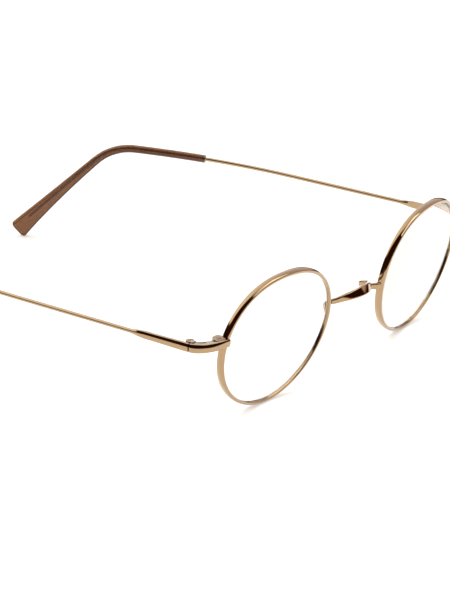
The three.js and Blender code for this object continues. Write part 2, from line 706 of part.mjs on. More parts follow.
function addPiece(name, geometry, look) {
  geometry.computeVertexNormals();
  const mesh = new THREE.Mesh(geometry, new THREE.MeshStandardMaterial(look));
  mesh.name = name;
  glasses.add(mesh);
}

const HALF_SPLIT = BLOCK_SPLIT / 2;
const HALF_BLOCK = BLOCK_HEIGHT / 2;
const sidePieces = [
  ['rim', rim(), FRAME_METAL],
  ['lens', lens(), CLEAR_LENS],
  ['upper_closing_block', closingBlock(HALF_SPLIT, HALF_BLOCK), FRAME_METAL],
  ['lower_closing_block', closingBlock(-HALF_BLOCK, -HALF_SPLIT), FRAME_METAL],
  ['closing_screw', closingScrewBody(), SCREW_METAL],
  ['end_piece', barBody(false), FRAME_METAL],
  ['front_hinge_leaf', frontLeaf(), FRAME_METAL],
  ['temple_hinge_leaf', templeLeaf(), FRAME_METAL],
  ['hinge_screw', hingeScrewBody(), SCREW_METAL],
  ['temple', temple(), FRAME_METAL],
  ['temple_tip', templeTip(), BROWN_ACETATE],
];

addPiece('bridge', bridge(), FRAME_METAL);
for (const [name, geometry, look] of sidePieces) {
  addPiece(`left_${name}`, geometry, look);
  addPiece(`right_${name}`, mirrored(geometry), look);
}

// Put the origin under the middle of the box
const middle = new THREE.Box3().setFromObject(glasses).getCenter(new THREE.Vector3());
glasses.position.y = -middle.y;

export default glasses;
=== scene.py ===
# %% [markdown]
# # Wire spectacles with clear lenses
# The real object is a light metal frame: two thin rims round clear lenses, a bowed bridge over the
# nose and two temples that fold on small screw hinges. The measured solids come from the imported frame.
# A mirror finish shows every facet, so each long, thin piece gets a finer mesh here on the same middle
# line, while the small hinge parts keep their solids and only get softened edges.

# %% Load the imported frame
import math

import bmesh
import bpy
from mathutils import Matrix, Vector


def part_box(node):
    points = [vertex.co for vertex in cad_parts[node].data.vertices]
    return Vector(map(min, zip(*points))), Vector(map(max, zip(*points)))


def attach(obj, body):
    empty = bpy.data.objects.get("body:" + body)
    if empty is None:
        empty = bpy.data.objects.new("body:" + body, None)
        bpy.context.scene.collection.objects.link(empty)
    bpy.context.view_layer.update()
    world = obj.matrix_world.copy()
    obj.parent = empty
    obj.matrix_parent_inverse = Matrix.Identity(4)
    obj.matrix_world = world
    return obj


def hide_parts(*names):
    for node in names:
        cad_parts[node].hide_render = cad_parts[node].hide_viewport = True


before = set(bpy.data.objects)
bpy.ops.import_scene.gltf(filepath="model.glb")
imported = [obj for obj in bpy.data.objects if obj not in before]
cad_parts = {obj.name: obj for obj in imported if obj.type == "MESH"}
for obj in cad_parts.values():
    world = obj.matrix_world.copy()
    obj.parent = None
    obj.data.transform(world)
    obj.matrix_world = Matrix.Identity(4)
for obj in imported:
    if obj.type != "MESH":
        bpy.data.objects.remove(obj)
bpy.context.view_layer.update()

# %% [markdown]
# ## From millimetres to metres
# Makers of frames think in millimetres, and the scene is in metres. All sizes and places below stay in
# millimetres, and one value turns them into metres at the moment when a mesh point is placed. The two
# small functions go from one value to another, evenly or with a soft start and end.

# %% Units and sides
MM = 0.001
SIDES = {"left": 1, "right": -1}


def mix(a, b, share):
    return a + (b - a) * share


def ease(share):
    share = min(max(share, 0.0), 1.0)
    return share * share * (3 - 2 * share)


# %% [markdown]
# ## Lofting a piece by extruding one ring of edges
# Rims, temples, tips and the bridge are all bent bars: one cross-section that travels along a middle
# line and changes a little on the way. A curve with a bevel would keep one section. So a circle of
# edges is made once, extruded from station to station, and each new ring is set to that station's
# section. The two ends are filled. The left piece is made, and the right one is its mirror image.

# %% Loft
def edges_round(bm, ring):
    return [bm.edges.get((a, b)) for a, b in zip(ring, ring[1:] + ring[:1])]


def set_ring(ring, points):
    for vert, point in zip(ring, points):
        vert.co = point * MM


def extrude_ring(bm, ring):
    made = bmesh.ops.extrude_edge_only(bm, edges=edges_round(bm, ring))["geom"]
    new = {item for item in made if isinstance(item, bmesh.types.BMVert)}
    follower = {}
    for vert in new:
        for edge in vert.link_edges:
            if edge.other_vert(vert) not in new:
                follower[edge.other_vert(vert)] = vert
    return [follower[vert] for vert in ring]


def loft(rings):
    bm = bmesh.new()
    first = bmesh.ops.create_circle(bm, segments=len(rings[0]), radius=MM)["verts"]
    set_ring(first, rings[0])
    ring = first
    for points in rings[1:]:
        ring = extrude_ring(bm, ring)
        set_ring(ring, points)
    for end in (first, ring):
        bmesh.ops.edgeloop_fill(bm, edges=edges_round(bm, end))
    bmesh.ops.recalc_face_normals(bm, faces=bm.faces)
    return bm


def mirrored(rings, side):
    flip = Vector((side, 1, 1))
    return [[point * flip for point in ring] for ring in rings]


# %% [markdown]
# ## A finished piece
# Each mesh becomes an object at the origin, with its place in its points, as the imported solids have.
# It rides on a body, takes its finish and hides the solid it stands for, whose name it prints. Its
# faces are shaded smooth, and only edges sharper than a given angle stay crisp. An edge split modifier
# would do that too, but it cuts the mesh open.

# %% Piece maker
SHARP_FROM = 35


def add_piece(name, bm, finish, body, node, sharp=SHARP_FROM):
    mesh = bpy.data.meshes.new(name)
    bm.to_mesh(mesh)
    bm.free()
    mesh.shade_smooth()
    mesh.set_sharp_from_angle(angle=math.radians(sharp))
    mesh.materials.append(finish)
    piece = bpy.data.objects.new(name, mesh)
    bpy.context.scene.collection.objects.link(piece)
    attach(piece, body)
    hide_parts(node)
    print(name, "has", len(mesh.polygons), "faces and replaces", node)
    return piece


# %% [markdown]
# ## Colours and nodes
# A listed colour is an sRGB value, and shaders work with linear light, so one function turns a
# hex value into linear numbers. A second one adds a node, sets its values and links its inputs, which
# keeps each material short. The scale of a noise is worked out from a real size in millimetres.

# %% Colour and node helpers
def linear(hex_colour):
    parts = [int(hex_colour[i:i + 2], 16) / 255 for i in (1, 3, 5)]
    return tuple(p / 12.92 if p <= 0.04045 else ((p + 0.055) / 1.055) ** 2.4 for p in parts) + (1.0,)


def add_node(tree, kind, values=None, links=None, **settings):
    node = tree.nodes.new(kind)
    for name, value in settings.items():
        setattr(node, name, value)
    for socket, value in (values or {}).items():
        node.inputs[socket].default_value = value
    for socket, source in (links or {}).items():
        tree.links.new(source, node.inputs[socket])
    return node


def new_material(name):
    material = bpy.data.materials.new(name)
    material.use_nodes = True
    tree = material.node_tree
    tree.nodes.clear()
    return material, tree


def finish_material(tree, shader):
    add_node(tree, "ShaderNodeOutputMaterial", links={"Surface": shader.outputs["BSDF"]})


def grain_scale(size_mm):
    return 1 / (size_mm * MM)


# The two colour inputs and the colour output of a mix node share their names with others, so they are
# picked by number.
MIX_FIRST = 6
MIX_SECOND = 7
MIX_COLOUR = 2

# %% [markdown]
# ## Polished rose-gold plating
# The frame is nickel-silver wire, tumbled, polished and plated with rose gold under a clear lacquer.
# The metal mirrors the room in its own warm colour, and the lacquer adds a second, pale mirror that
# grows where the surface is seen at a slant. The polishing wheel leaves a faint unevenness, and the
# plating is slightly redder where it is thinner. One function makes all three metals, because the
# hinge parts and screws are the same metal with less polish. Noise sized in millimetres gives the
# patches, where a picture of scratches would need an unwrapped surface.

# %% Plated metal
LACQUER_ROUGHNESS = 0.03
POLISH_SPREAD = 0.3
WAVE_STRENGTH = 0.04
WAVE_HEIGHT = 0.02


def plated_metal(name, bright, thin, roughness, patch_mm, polish_mm):
    material, tree = new_material(name)
    where = {"Vector": add_node(tree, "ShaderNodeTexCoord").outputs["Object"]}
    patches = add_node(tree, "ShaderNodeTexNoise", {"Scale": grain_scale(patch_mm), "Detail": 3.0}, where)
    polish = add_node(tree, "ShaderNodeTexNoise", {"Scale": grain_scale(polish_mm), "Detail": 4.0}, where)
    colour = add_node(tree, "ShaderNodeMix", {MIX_FIRST: linear(bright), MIX_SECOND: linear(thin)},
                      {"Factor": patches.outputs["Fac"]}, data_type="RGBA")
    gloss = add_node(tree, "ShaderNodeMapRange", {
        "To Min": roughness * (1 - POLISH_SPREAD),
        "To Max": roughness * (1 + POLISH_SPREAD),
    }, {"Value": polish.outputs["Fac"]})
    waves = add_node(tree, "ShaderNodeBump", {"Strength": WAVE_STRENGTH, "Distance": WAVE_HEIGHT * MM},
                     {"Height": polish.outputs["Fac"]})
    shader = add_node(tree, "ShaderNodeBsdfPrincipled", {
        "Metallic": 1.0,
        "Coat Weight": 1.0,
        "Coat Roughness": LACQUER_ROUGHNESS,
    }, {
        "Base Color": colour.outputs[MIX_COLOUR],
        "Roughness": gloss.outputs["Result"],
        "Normal": waves.outputs["Normal"],
    })
    finish_material(tree, shader)
    return material


rose_gold = plated_metal("polished_rose_gold", "#ae9069", "#a5865f", 0.07, 6.0, 0.8)
hinge_gold = plated_metal("satin_rose_gold", "#af8e67", "#a5835c", 0.18, 3.0, 0.3)
screw_gold = plated_metal("turned_rose_gold", "#b49169", "#a17e57", 0.24, 1.5, 0.2)
print("metals:", rose_gold.name, hinge_gold.name, screw_gold.name)

# %% [markdown]
# ## Clear lens plastic
# Display lenses are cast from clear acrylic, and prescription lenses from a denser plastic. Both are
# colourless and shiny, so full transmission with a high index of refraction is enough, and the closed
# mesh bends the light. Mixing glossy and transparent shaders by hand would lose that bend. A real lens
# is never quite clean, so a soft, large noise makes the polish vary a little.

# %% Lens material
SMEAR_MM = 14.0
SMEAR_ROUGHNESS = 0.03

lens_clear, tree = new_material("clear_cast_lens")
where = {"Vector": add_node(tree, "ShaderNodeTexCoord").outputs["Object"]}
smears = add_node(tree, "ShaderNodeTexNoise", {"Scale": grain_scale(SMEAR_MM), "Detail": 2.0}, where)
polish = add_node(tree, "ShaderNodeMapRange", {"To Min": 0.0, "To Max": SMEAR_ROUGHNESS},
                  {"Value": smears.outputs["Fac"]})
shader = add_node(tree, "ShaderNodeBsdfPrincipled", {
    "Base Color": linear("#fdfefc"),
    "Transmission Weight": 1.0,
    "IOR": 1.6,
}, {"Roughness": polish.outputs["Result"]})
finish_material(tree, shader)
print("lens plastic with smears of", SMEAR_MM, "mm")

# %% [markdown]
# ## Brown translucent tips
# The tips are cellulose acetate, moulded over the wire and polished. Light enters them, so the metal
# core shows inside. The brown is slightly cloudy, from the way the plastic was mixed, and the paler
# clouds are a little less shiny. Transmission with a brown base colour gives this depth, which a plain
# brown surface would lack.

# %% Tip material
CLOUD_MM = 5.0
TIP_ROUGHNESS = (0.04, 0.12)

tip_brown, tree = new_material("brown_acetate")
where = {"Vector": add_node(tree, "ShaderNodeTexCoord").outputs["Object"]}
clouds = add_node(tree, "ShaderNodeTexNoise", {"Scale": grain_scale(CLOUD_MM), "Detail": 3.0}, where)
colour = add_node(tree, "ShaderNodeMix", {MIX_FIRST: linear("#653c1d"), MIX_SECOND: linear("#7c4e27")},
                  {"Factor": clouds.outputs["Fac"]}, data_type="RGBA")
polish = add_node(tree, "ShaderNodeMapRange", {"To Min": TIP_ROUGHNESS[0], "To Max": TIP_ROUGHNESS[1]},
                  {"Value": clouds.outputs["Fac"]})
shader = add_node(tree, "ShaderNodeBsdfPrincipled", {
    "Transmission Weight": 0.9,
    "IOR": 1.48,
}, {"Base Color": colour.outputs[MIX_COLOUR], "Roughness": polish.outputs["Result"]})
finish_material(tree, shader)
print("tip plastic with clouds of", CLOUD_MM, "mm")

# %% [markdown]
# ## Where each lens stands
# The outline of a lens is nearly round: a mean radius, stretched a little sideways and filled out
# below. Two waves on a circle say that in two numbers, where a traced outline would need dozens of
# points. The lens stands in its own plane, which leans forward at the top and turns back at the outer
# side.

# %% Lens outline and plane
LENS_WIDTH = 42.5
LENS_HEIGHT = 35.8
LENS_GAP = 26.5
LOWER_FULLNESS = 0.0195
FRONT_TILT = math.radians(11.4)
FACE_WRAP = math.radians(5.2)
MEAN_RADIUS = (LENS_WIDTH + LENS_HEIGHT) / 4
OVAL = (LENS_WIDTH - LENS_HEIGHT) / (LENS_WIDTH + LENS_HEIGHT)


def outline(angle, offset=0.0):
    radius = MEAN_RADIUS * (1 + OVAL * math.cos(2 * angle) + LOWER_FULLNESS * math.sin(3 * angle))
    change = MEAN_RADIUS * (3 * LOWER_FULLNESS * math.cos(3 * angle) - 2 * OVAL * math.sin(2 * angle))
    ray = Vector((math.cos(angle), math.sin(angle)))
    normal = radius * ray + change * Vector((ray.y, -ray.x))
    return radius * ray + offset * normal.normalized()


lens_plane = (
    Matrix.Translation(((LENS_WIDTH + LENS_GAP) / 2, 0, 0))
    @ Matrix.Rotation(FRONT_TILT, 4, "X")
    @ Matrix.Rotation(FACE_WRAP, 4, "Z")
)


def lens_point(angle, offset, depth):
    spot = outline(angle, offset)
    return lens_plane @ Vector((spot.x, depth, spot.y))


print("lens outline", round(outline(0).x - outline(math.pi).x, 2), "mm wide")

# %% [markdown]
# ## The section of a rim
# A rim is grooved wire, rolled to shape, with a crowned outer side and a lip before and behind the
# lens. The solid has a plain front. Here the front is a quarter of an ellipse from the front lip to
# the crown, a little fuller than the solid, because a rounded mirror draws the thin lines of dark and
# light that polished wire shows. The section is listed once: front lip, rounded front, crown, back lip
# and the bottom of the groove.

# %% Rim section
RIM_DEPTH = 1.55
RIM_FORWARD = 0.28
RIM_LIP = 0.46
RIM_WALL = 0.63
RIM_EDGE = 0.25
RIM_SWEEP = 0.55
RIM_CROWN = 0.12
ROUND_POINTS = 9
CROWN_SHARES = (0.25, 0.5, 0.75, 1.0)
GROOVE_HALF = 0.36

rim_half = RIM_DEPTH / 2
rim_front = rim_half + RIM_FORWARD
quarter_turn = [k / (ROUND_POINTS - 1) * math.pi / 2 for k in range(ROUND_POINTS)]


def lip(depth):
    bend = [(RIM_EDGE * (1 - math.cos(a)), RIM_EDGE * (1 - math.sin(a))) for a in quarter_turn]
    return [(-RIM_LIP, GROOVE_HALF)] + [(inner - RIM_LIP, depth - back) for inner, back in bend]


front_lip = [(offset, -depth) for offset, depth in lip(rim_front)]
front_round = [(RIM_WALL - RIM_SWEEP * (1 - math.sin(a)), -rim_front * math.cos(a)) for a in quarter_turn]
crown = [(RIM_WALL - RIM_CROWN * share ** 2, rim_half * share) for share in CROWN_SHARES]
groove_floor = [(0.0, 0.0)]
rim_section = front_lip + front_round + crown + lip(rim_half)[::-1] + groove_floor
print("rim section of", len(rim_section), "points")

# %% [markdown]
# ## Where the rims are split and stand
# A rim is one length of wire whose ends meet at the outer side, where the closing blocks hold it shut.
# So the section travels round the lens outline from one side of the split to the other. The packed
# rim's box says where the front stands: its near side fits the foremost corner of the solid's own
# section, and its bottom fits the lowest point of the fuller one, so both stand on the same table.

# %% Rim lofts
RIM_STEPS = 220
BLOCK_ANGLE = math.radians(11.5)
SPLIT_HALF = math.radians(3.1)
PACKED_EDGE = (0.35, -rim_half)


def rim_rings(section):
    start = BLOCK_ANGLE + SPLIT_HALF
    sweep = 2 * math.pi - 2 * SPLIT_HALF
    angles = [start + sweep * i / RIM_STEPS for i in range(RIM_STEPS + 1)]
    return [[lens_point(angle, *spot) for spot in section] for angle in angles]


packed_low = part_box("left_rim")[0] / MM
foremost = min(point.y for ring in rim_rings([PACKED_EDGE]) for point in ring)
lowest = min(point.z for ring in rim_rings(rim_section) for point in ring)
lift = Vector((0, packed_low.y - foremost, packed_low.z - lowest))
lens_plane = Matrix.Translation(lift) @ lens_plane
print("front plane moved to its packed place by", [round(v, 3) for v in lift], "mm")

for side, sign in SIDES.items():
    rings = mirrored(rim_rings(rim_section), sign)
    add_piece(f"{side}_rim_wire", loft(rings), rose_gold, "front", f"{side}_rim")

# %% [markdown]
# ## The lenses
# A lens is a domed sheet with a ridge round its edge that snaps into the groove. A piece cut from a
# ball would be round, and this outline is not. So rings of the outline are lofted from the middle of
# the back, out over the ridge and in again over the front, as one closed body in which light bends as
# it should. The edge is thinner than the solid's, which keeps a grey ring from showing inside the rim,
# and the lens casts no shadow, because a clear one leaves hardly any.

# %% Lens lofts
LENS_THICKNESS = 1.5
LENS_EDGE = 0.7
LENS_DOME = 1.5
RIDGE_WIDTH = 0.6
FIT = 0.06
LENS_STEPS = 128
DOME_RINGS = 12
MIDDLE_RING = 0.1


def lens_rings():
    angles = [2 * math.pi * i / LENS_STEPS for i in range(LENS_STEPS)]
    edge = -(RIM_LIP + FIT)

    def dome(share, face):
        thickness = mix(LENS_THICKNESS, LENS_EDGE, share * share)
        depth = face * thickness / 2 - LENS_DOME * (1 - share * share)
        spots = [outline(angle, edge) * share for angle in angles]
        return [lens_plane @ Vector((spot.x, depth, spot.y)) for spot in spots]

    shares = [(i + MIDDLE_RING) / (DOME_RINGS + MIDDLE_RING) for i in range(DOME_RINGS + 1)]
    back = [dome(share, 1) for share in shares]
    front = [dome(share, -1) for share in reversed(shares)]
    ridge = [(edge, RIDGE_WIDTH / 2), (-FIT, 0.0), (edge, -RIDGE_WIDTH / 2)]
    return back + [[lens_point(angle, *spot) for angle in angles] for spot in ridge] + front


for side, sign in SIDES.items():
    rings = mirrored(lens_rings(), sign)
    lens = add_piece(f"{side}_clear_lens", loft(rings), lens_clear, "front", f"{side}_lens")
    lens.visible_shadow = False

# %% [markdown]
# ## A section with a bevelled upper edge
# The end pieces and the temple blades are flat bars. Their upper outer edge is ground to a wide bevel
# that mirrors the dark room behind the camera as one long band. A bevel operator would give one width
# along the whole bar, so the bevel is part of the section here. The section has five corners, each
# rounded over a few points, and points between them, so that the same ring can later turn into round
# wire. A turn makes the bevel look further up.

# %% Bevelled section
BEVEL_DOWN = 0.92
BEVEL_IN = 0.25
SOFT_EDGE = 0.25
CRISP_EDGE = 0.1
CORNER_POINTS = 4
SIDE_POINTS = 10


def bevelled_section(thickness, height, bevel, turn=0.0):
    t = thickness / 2
    h = height / 2
    bevel_down = BEVEL_DOWN * bevel
    bevel_in = (BEVEL_IN + BEVEL_DOWN * math.tan(turn)) * bevel
    corners = [
        (Vector((-t, -h)), SOFT_EDGE),
        (Vector((t, -h)), SOFT_EDGE),
        (Vector((t, h - bevel_down)), CRISP_EDGE),
        (Vector((t - bevel_in, h)), CRISP_EDGE),
        (Vector((-t, h)), CRISP_EDGE),
    ]
    rounded = []
    for i, (corner, edge) in enumerate(corners):
        before = corners[i - 1][0]
        after = corners[(i + 1) % len(corners)][0]
        start = corner + (before - corner).normalized() * edge
        end = corner + (after - corner).normalized() * edge
        shares = [k / (CORNER_POINTS - 1) for k in range(CORNER_POINTS)]
        rounded.append([mix(mix(start, corner, s), mix(corner, end, s), s) for s in shares])
    section = []
    for here, following in zip(rounded, rounded[1:] + rounded[:1]):
        fill = [mix(here[-1], following[0], k / (SIDE_POINTS + 1)) for k in range(1, SIDE_POINTS + 1)]
        section += here + fill
    return section


def ring_at(place, outward, up, section):
    return [place + outward * a + up * b for a, b in section]


# %% [markdown]
# ## The line of an end piece
# An end piece is a flat bar that laps the front of the rim, runs outwards, turns the corner and ends
# at the butt joint. A straight bar with a bend modifier would turn evenly, and this one turns mostly at
# its corner. So its outer face follows one smooth curve with four control points, as on the solid. It
# stops a little short of the joint, because the real joint shows as a fine dark line.

# %% End piece line
FRONT_WIDTH = 131.2
HINGE_BACK = 4.95
LAP_THICKNESS = 0.85
LAP_DROP = 0.6
FRONT_RUN = 6.2
SIDE_RUN = 3.2
BUTT_GAP = 0.14
BUTT_OPEN = 0.12
SPLAY = math.radians(1.35)

block_spot = outline(BLOCK_ANGLE, RIM_WALL)
lap_spot = outline(BLOCK_ANGLE, -RIM_LIP)
lap_start = lens_plane @ Vector((lap_spot.x, -(rim_half + FIT + LAP_THICKNESS), block_spot.y))
hinge_spot = Vector((FRONT_WIDTH / 2, HINGE_BACK + lift.y, lap_start.z + LAP_DROP))
backward = Vector((-math.sin(SPLAY), math.cos(SPLAY), 0))
along_front = Vector((math.cos(FACE_WRAP), math.sin(FACE_WRAP), 0))
bar_controls = [
    lap_start,
    lap_start + along_front * FRONT_RUN,
    hinge_spot - backward * SIDE_RUN,
    hinge_spot - backward * (BUTT_GAP / 2 + BUTT_OPEN),
]


def bar_point(share):
    row = bar_controls
    while len(row) > 1:
        row = [mix(a, b, share) for a, b in zip(row, row[1:])]
    return row[0]


print("end piece from", [round(v, 2) for v in lap_start], "to", [round(v, 2) for v in hinge_spot], "mm")

# %% [markdown]
# ## The ledge on top of an end piece
# Between the two screws the top of the end piece is wider than the bar below, and bright from above.
# A separate plate would leave a seam. So the inner upper points of the section are moved inwards by a
# width that grows from nothing behind the lap and fades out again at the hinge.

# %% Ledge
LEDGE_WIDTH = 1.3
LEDGE_DEPTH = 0.45
LEDGE_SHARES = (0.15, 0.4, 0.9, 1.0)
# A hair more than the rounded corner, so that all of its points move.
LEDGE_REACH = 1.01 * CRISP_EDGE


def ledge_width(share):
    start, full, last, end = LEDGE_SHARES
    return LEDGE_WIDTH * ease((share - start) / (full - start)) * ease((end - share) / (end - last))


def with_ledge(section, thickness, height, width):
    edge = LEDGE_REACH - thickness / 2
    foot = height / 2 - LEDGE_DEPTH
    return [Vector((a - width, b)) if a < edge and b > foot else Vector((a, b)) for a, b in section]


# %% [markdown]
# ## The changing section of an end piece
# The lap is thin and leans with the rim, and the bar behind it is thicker and upright. The bevel is
# narrower on the lap and turned further up, so that the dark band on it runs right to the end. The end
# itself is a rounded nose, where the section shrinks over the first few rings, which lie closer
# together. A simple extrusion could do none of this, so each ring gets its own section.

# %% End piece lofts
LAP_HEIGHT = 2.1
LAP_BEVEL = 0.45
LAP_TURN = 1.9
LAP_ENDS = 0.1
UPRIGHT_FROM = 0.45
BAR_THICKNESS = 1.25
BLADE_HEIGHT = 2.2
NOSE_SHARE = 0.025
NOSE_CROWDING = 1.3
BAR_STEPS = 70
BAR_SHARP_FROM = 28


def bar_ring(share):
    step = 0.001
    along = (bar_point(min(share + step, 1)) - bar_point(max(share - step, 0))).normalized()
    lean = FRONT_TILT * max(0.0, 1 - share / UPRIGHT_FROM)
    inward = Vector((0, -math.sin(lean), math.cos(lean))).cross(along).normalized()
    up = along.cross(inward)
    thickness = mix(LAP_THICKNESS, BAR_THICKNESS, ease((share - LAP_ENDS) / (UPRIGHT_FROM - LAP_ENDS)))
    height = mix(LAP_HEIGHT, BLADE_HEIGHT, share)
    middle = bar_point(share) + inward * (thickness / 2)
    nose = SOFT_EDGE * max(0.0, 1 - share / NOSE_SHARE) ** 2
    bevel = mix(LAP_BEVEL, 1.0, ease(share / UPRIGHT_FROM))
    section = bevelled_section(thickness - nose, height - 2 * nose, bevel, lean * LAP_TURN)
    section = with_ledge(section, thickness - nose, height, ledge_width(share))
    return ring_at(middle, -inward, up, section)


bar_rings = [bar_ring((i / BAR_STEPS) ** NOSE_CROWDING) for i in range(BAR_STEPS + 1)]
for side, sign in SIDES.items():
    add_piece(f"{side}_end_bar", loft(mirrored(bar_rings, sign)), rose_gold, "front",
              f"{side}_end_piece", sharp=BAR_SHARP_FROM)

# %% [markdown]
# ## The line of a temple
# Each temple is one length of wire: pressed flat behind the hinge, drawn round, bowed slightly inwards
# and bent down behind the ear, where it runs on as the core of the tip. A curve object with handles
# would leave its length to chance. So its middle line is walked in small steps that turn a little each
# time, and every place on it is known by its distance from the hinge.

# %% Temple line
TEMPLE_LENGTH = 149.0
BLADE_THICKNESS = 0.95
BOW_START = 54.0
BOW_RADIUS = 166.0
BEND_START = 103.7
BEND_RADIUS = 17.0
BEND_ANGLE = math.radians(44)
WALK_STEP = 0.25


def heading(walked, rise):
    turn = SPLAY + max(0.0, walked - BOW_START) / BOW_RADIUS
    pitch = rise - min(max((walked - BEND_START) / BEND_RADIUS, 0.0), BEND_ANGLE)
    along = Vector((-math.sin(turn) * math.cos(pitch), math.cos(turn) * math.cos(pitch), math.sin(pitch)))
    outward = Vector((math.cos(turn), math.sin(turn), 0))
    return along, outward, outward.cross(along)


def stations(stops, rise):
    place = hinge_spot + backward * (BUTT_GAP / 2) - heading(0, rise)[1] * (BLADE_THICKNESS / 2)
    walked = 0.0
    found = []
    for stop in stops:
        count = max(1, math.ceil((stop - walked) / WALK_STEP))
        step = (stop - walked) / count
        for _ in range(count):
            place = place + heading(walked + step / 2, rise)[0] * step
            walked += step
        found.append((stop, place, *heading(stop, rise)[1:]))
    return found


def even_stops(start, end, spacing):
    count = math.ceil((end - start) / spacing)
    return [mix(start, end, i / count) for i in range(count + 1)]


# %% [markdown]
# ## The section of a tip
# A tip is a round sleeve that widens into a flat, drooping paddle with a softly rounded end. Scaling a
# cylinder would round the corners more as it widens. So each ring is a rectangle with its own corner
# size, and the last rings lie closer together and shrink along a quarter circle.

# %% Tip section
TIP_LENGTH = 66.8
TIP_DIAMETER = 2.15
PADDLE_WIDTH = 5.7
PADDLE_THICKNESS = 2.3
PADDLE_LENGTH = 60.0
PADDLE_DROP = 0.26
PADDLE_ROUND = 1.0
PADDLE_FLARE = 3.1
SOFT_CORNER = 0.42
ARC_POINTS = 7
TIP_SPACING = 0.9
END_RINGS = 8


def rounded_section(width, height, corner):
    section = []
    for quarter in range(4):
        side_a = 1 if quarter in (0, 3) else -1
        side_b = 1 if quarter < 2 else -1
        for k in range(ARC_POINTS):
            angle = (quarter + k / (ARC_POINTS - 1)) * math.pi / 2
            a = side_a * (width / 2 - corner) + corner * math.cos(angle)
            b = side_b * (height / 2 - corner) + corner * math.sin(angle)
            section.append((a, b))
    return section


def tip_ring(stop, place, outward, up):
    from_end = TEMPLE_LENGTH - stop
    flare = max(0.0, 1 - from_end / PADDLE_LENGTH) ** PADDLE_FLARE
    rounding = max(0.0, 1 - from_end / PADDLE_ROUND)
    trim = PADDLE_ROUND * (1 - math.sqrt(1 - rounding * rounding))
    width = mix(TIP_DIAMETER, PADDLE_WIDTH, flare)
    thickness = mix(TIP_DIAMETER, PADDLE_THICKNESS, flare) - trim / 2
    middle = place - up * ((width - TIP_DIAMETER) * PADDLE_DROP)
    section = rounded_section(thickness, width - 2 * trim, SOFT_CORNER * thickness)
    return ring_at(middle, outward, up, section)


sleeve_stops = even_stops(TEMPLE_LENGTH - TIP_LENGTH, TEMPLE_LENGTH - PADDLE_ROUND, TIP_SPACING)
end_stops = [TEMPLE_LENGTH - PADDLE_ROUND * (1 - k / END_RINGS) ** 2 for k in range(1, END_RINGS + 1)]


def tip_rings(rise):
    return [tip_ring(*station) for station in stations(sleeve_stops + end_stops, rise)]


print("tip of", len(sleeve_stops) + len(end_stops), "rings")

# %% [markdown]
# ## How steeply the temples rise
# Open glasses stand on the rims and on the two tip ends. The tips reach the table only at one rise of
# the temples, which depends on every length and bend above. A formula would be long, and a fixed angle
# would be wrong after any change. So a range is halved until the lowest point of the tip is level.

# %% Find the rise
RISE_RANGE = (-BEND_ANGLE / 4, BEND_ANGLE / 3)
HALVINGS = 30

low_rise, high_rise = RISE_RANGE
for halving in range(HALVINGS):
    rise = (low_rise + high_rise) / 2
    lowest_tip = min(point.z for ring in tip_rings(rise) for point in ring)
    if lowest_tip < 0:
        low_rise = rise
    else:
        high_rise = rise
print("the temples rise by", round(math.degrees(rise), 2), "degrees")

# %% [markdown]
# ## Temples and tips
# The section of a temple changes from the bevelled bar into a circle over a short taper. Two separate
# meshes would need a joint there, so each point of the bar's section moves to its place on the circle.
# Inside the sleeve the wire is ground to a slimmer core, which leaves the brown its depth. The blade
# starts a little behind the butt joint, as the end piece stops before it.

# %% Temple and tip lofts
BLADE_LENGTH = 13.5
BLADE_TAPER = 5.0
BLADE_REAR_HEIGHT = 1.9
WIRE_RADIUS = 0.56
CORE_END = 5.6
CORE_RADIUS = 0.4
CORE_TAPER = 3.0
BLADE_SPACING = 1.5
TAPER_SPACING = 0.25
WIRE_SPACING = 1.2


def temple_ring(stop, place, outward, up):
    slim = ease((stop - BLADE_LENGTH) / BLADE_TAPER)
    height = mix(BLADE_HEIGHT, BLADE_REAR_HEIGHT, ease(stop / BLADE_LENGTH))
    radius = mix(WIRE_RADIUS, CORE_RADIUS, ease((stop - TEMPLE_LENGTH + TIP_LENGTH) / CORE_TAPER))
    bar = bevelled_section(BLADE_THICKNESS, height, height / BLADE_HEIGHT)
    section = [mix(point, point.normalized() * radius, slim) for point in bar]
    return ring_at(place, outward, up, section)


wire_start = BLADE_LENGTH + BLADE_TAPER
blade_stops = even_stops(BUTT_OPEN, BLADE_LENGTH, BLADE_SPACING)
taper_stops = even_stops(BLADE_LENGTH, wire_start, TAPER_SPACING)
wire_stops = even_stops(wire_start, TEMPLE_LENGTH - CORE_END, WIRE_SPACING)
temple_stations = stations(blade_stops + taper_stops[1:] + wire_stops[1:], rise)
temple_rings = [temple_ring(*station) for station in temple_stations]
for side, sign in SIDES.items():
    arm = f"{side}_temple_arm"
    add_piece(f"{side}_temple_wire", loft(mirrored(temple_rings, sign)), rose_gold, arm,
              f"{side}_temple", sharp=BAR_SHARP_FROM)
    add_piece(f"{side}_tip_sleeve", loft(mirrored(tip_rings(rise), sign)), tip_brown, arm,
              f"{side}_temple_tip")

# %% [markdown]
# ## The line of the bridge
# The bridge is forged in one: a bow over the nose whose ends loop back and turn forward into the rims.
# Bending a bar with a modifier could not make the tight loops. So its middle line passes through a few
# points, counted from the place where the rim meets it, and the other half is their mirror image.

# %% Bridge points
BRIDGE_FORWARD = 2.92
BRIDGE_RISE = 3.58
BOW_ROOT = (4.03, 0.73, 2.45)
LOOP = [(3.44, 2.9, 2.0), (2.84, 3.9, 1.35), (2.04, 3.15, 0.75), (1.09, 1.4, 0.75), (0.29, -0.05, 0.85)]
BOW_SHARES = (0.35, 0.7)

bridge_root = lens_point(math.pi, RIM_WALL, 0.0)


def from_rim(inwards, backwards, upwards):
    return bridge_root + Vector((-inwards, backwards, upwards))


